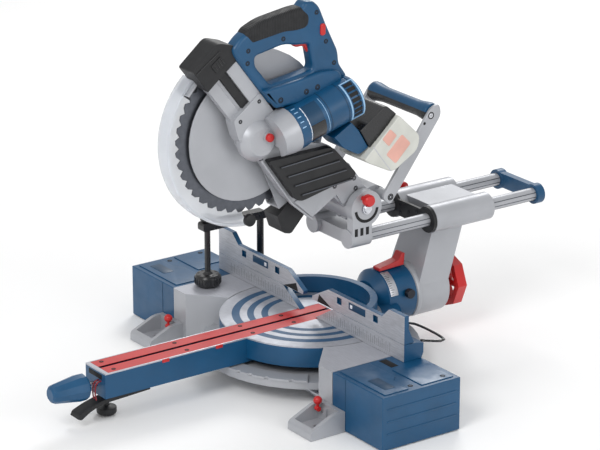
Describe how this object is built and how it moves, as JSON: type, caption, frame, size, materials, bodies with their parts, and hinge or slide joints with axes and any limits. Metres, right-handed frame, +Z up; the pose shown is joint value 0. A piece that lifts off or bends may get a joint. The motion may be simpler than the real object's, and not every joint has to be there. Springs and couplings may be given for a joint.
{
  "type": "sliding mitre saw",
  "caption": "Cordless sliding compound mitre saw with twin rails, slide-out table extensions and sliding fences, its guarded blade and handle head raised at rest.",
  "frame": {"origin": "centre of the footprint box, on the bench plane under the feet", "axes": "+X to the operator's right, +Y from the operator to the rear along the rails, +Z up; at rest the mitre arm is straight, the head raised and the carriage part way along its rails"},
  "size_m": [0.706, 0.925, 0.6248],
  "materials": {
    "cast_grey": "silver-grey painted casting",
    "cast_blue": "blue painted casting",
    "bright_steel": "bright ground steel",
    "dark_steel": "dark coated steel",
    "black_steel": "black enamelled steel",
    "blue_plastic": "moulded, satin",
    "black_plastic": "moulded, matt",
    "red_plastic": "moulded, satin",
    "pale_plastic": "moulded, matt",
    "black_rubber": "soft ribbed grip",
    "clear_plastic": "frosted clear moulding"
  },
  "bodies": {
    "base": {"base_casting": "cast_grey", "detent_plate": "bright_steel", "rear_wire_bracket": "black_steel", "fixed_fence": "cast_grey"},
    "clamp": {"clamp_post": "black_steel"},
    "clamp_screw": {"clamp_screw": "black_steel"},
    "fence_left": {"sliding_fence_left": "cast_grey"},
    "fence_right": {"sliding_fence_right": "cast_grey"},
    "extension_left": {"extension_cover_left": "blue_plastic", "extension_bar_left": "bright_steel"},
    "extension_right": {"extension_cover_right": "blue_plastic", "extension_bar_right": "bright_steel"},
    "extension_lever_left": {"extension_lever_left": "red_plastic"},
    "extension_lever_right": {"extension_lever_right": "red_plastic"},
    "turntable": {"turntable_casting": "cast_blue", "kerf_insert_left": "red_plastic", "kerf_insert_right": "red_plastic", "arm_foot": "black_plastic", "bevel_stop_bolt": "dark_steel"},
    "mitre_lock": {"mitre_lock_knob": "blue_plastic", "mitre_lock_spindle": "bright_steel"},
    "detent_lever": {"detent_lever": "black_plastic"},
    "bevel_range_lever": {"bevel_range_lever": "red_plastic"},
    "column": {"tilt_column": "cast_grey", "rail_seal_plate": "black_plastic", "bevel_tie_bolt": "bright_steel"},
    "bevel_lock_wheel": {"bevel_lock_wheel": "red_plastic"},
    "slide_lock": {"slide_lock_knob": "red_plastic"},
    "carriage": {"rail_left": "bright_steel", "rail_right": "bright_steel", "rail_end_cap": "cast_blue", "carriage_bracket": "cast_grey", "pivot_shaft": "bright_steel"},
    "head_lock": {"head_lock_pin": "red_plastic"},
    "head": {"head_arm": "cast_grey", "arm_cover": "black_plastic", "gear_housing": "cast_grey", "upper_guard": "cast_grey", "guard_side_plate": "cast_grey", "front_cap": "black_plastic", "motor_housing": "blue_plastic", "motor_end_cap": "blue_plastic", "battery_dock": "black_plastic", "handle_shell": "blue_plastic", "handle_grip": "black_rubber", "dust_chute": "black_plastic", "carry_grip": "blue_plastic", "carry_arm_left": "cast_grey", "carry_arm_right": "cast_grey", "return_spring": "dark_steel"},
    "battery": {"battery_pack": "pale_plastic"},
    "trigger": {"trigger": "red_plastic"},
    "lock_off": {"lock_off_button": "red_plastic"},
    "spindle_lock": {"spindle_lock_button": "red_plastic"},
    "blade": {"saw_blade": "dark_steel", "arbor_shaft": "bright_steel"},
    "blade_guard": {"lower_guard": "clear_plastic", "guard_roller": "black_plastic"}
  },
  "joints": [
    {"name": "mitre_swing", "type": "hinge", "parent": "base", "child": "turntable", "pos_m": [0, 0.0275, 0.088], "axis": [0, 0, 1], "range_deg": [-48, 48]},
    {"name": "bevel_tilt", "type": "hinge", "parent": "turntable", "child": "column", "pos_m": [0, 0.2095, 0.088], "axis": [0, 1, 0], "range_deg": [-47, 47]},
    {"name": "rail_slide", "type": "slide", "parent": "column", "child": "carriage", "axis": [0, -1, 0], "range_m": [-0.115, 0.09]},
    {"name": "head_chop", "type": "hinge", "parent": "carriage", "child": "head", "pos_m": [0, 0.0925, 0.271], "axis": [-1, 0, 0], "range_deg": [-52.8, 0], "stiffness_Nm_per_rad": 20, "springref_deg": 51.57},
    {"name": "blade_guard_swing", "type": "hinge", "parent": "head", "child": "blade_guard", "pos_m": [0, -0.1011, 0.4153], "axis": [1, 0, 0], "range_deg": [-111, 0]},
    {"name": "blade_spin", "type": "hinge", "parent": "head", "child": "blade", "pos_m": [0, -0.1011, 0.4153], "axis": [1, 0, 0], "continuous": true},
    {"name": "trigger_pull", "type": "slide", "parent": "head", "child": "trigger", "axis": [0, -0.039, 0.9992], "range_m": [0, 0.006], "stiffness_N_per_m": 400, "springref_m": -0.004},
    {"name": "lock_off_press", "type": "slide", "parent": "head", "child": "lock_off", "axis": [-1, 0, 0], "range_m": [0, 0.003], "stiffness_N_per_m": 300, "springref_m": -0.002},
    {"name": "spindle_lock_press", "type": "slide", "parent": "head", "child": "spindle_lock", "axis": [-1, 0, 0], "range_m": [0, 0.004], "stiffness_N_per_m": 300, "springref_m": -0.002},
    {"name": "battery_removal", "type": "slide", "parent": "head", "child": "battery", "axis": [1, 0, 0], "range_m": [0, 0.075]},
    {"name": "fence_left_slide", "type": "slide", "parent": "base", "child": "fence_left", "axis": [1, 0, 0], "range_m": [-0.11, 0]},
    {"name": "fence_right_slide", "type": "slide", "parent": "base", "child": "fence_right", "axis": [-1, 0, 0], "range_m": [-0.11, 0]},
    {"name": "extension_left_slide", "type": "slide", "parent": "base", "child": "extension_left", "axis": [-1, 0, 0], "range_m": [0, 0.1]},
    {"name": "extension_right_slide", "type": "slide", "parent": "base", "child": "extension_right", "axis": [1, 0, 0], "range_m": [0, 0.1]},
    {"name": "extension_lever_left_tilt", "type": "hinge", "parent": "base", "child": "extension_lever_left", "pos_m": [-0.212, -0.1105, 0.028], "axis": [1, 0, 0], "range_deg": [0, 35]},
    {"name": "extension_lever_right_tilt", "type": "hinge", "parent": "base", "child": "extension_lever_right", "pos_m": [0.212, -0.1105, 0.028], "axis": [1, 0, 0], "range_deg": [0, 35]},
    {"name": "mitre_lock_turn", "type": "hinge", "parent": "turntable", "child": "mitre_lock", "pos_m": [0, -0.4085, 0.063], "axis": [0, 1, 0], "range_deg": [0, 180]},
    {"name": "detent_release", "type": "hinge", "parent": "turntable", "child": "detent_lever", "pos_m": [0, -0.2965, 0.042], "axis": [1, 0, 0], "range_deg": [-5, 0], "stiffness_Nm_per_rad": 1.5, "springref_deg": 5.73},
    {"name": "bevel_range_lift", "type": "hinge", "parent": "turntable", "child": "bevel_range_lever", "pos_m": [0, 0.1555, 0.138], "axis": [1, 0, 0], "range_deg": [0, 10], "stiffness_Nm_per_rad": 0.3, "springref_deg": -11.46},
    {"name": "bevel_lock_turn", "type": "hinge", "parent": "column", "child": "bevel_lock_wheel", "pos_m": [0, 0.3015, 0.088], "axis": [0, 1, 0], "range_deg": [0, 180]},
    {"name": "slide_lock_turn", "type": "hinge", "parent": "column", "child": "slide_lock", "pos_m": [-0.0755, 0.2715, 0.234], "axis": [-1, 0, 0], "range_deg": [0, 120]},
    {"name": "head_lock_push", "type": "slide", "parent": "carriage", "child": "head_lock", "axis": [-1, 0, 0], "range_m": [0, 0.01]},
    {"name": "clamp_removal", "type": "slide", "parent": "base", "child": "clamp", "axis": [0, 0, -1], "range_m": [-0.3, 0]},
    {"name": "clamp_screw_lift", "type": "slide", "parent": "clamp", "child": "clamp_screw", "axis": [0, 0, 1], "range_m": [0, 0.07]}
  ],
  "couplings": [
    {"joint": "blade_guard_swing", "follows": "head_chop", "ratio": 2.08}
  ]
}
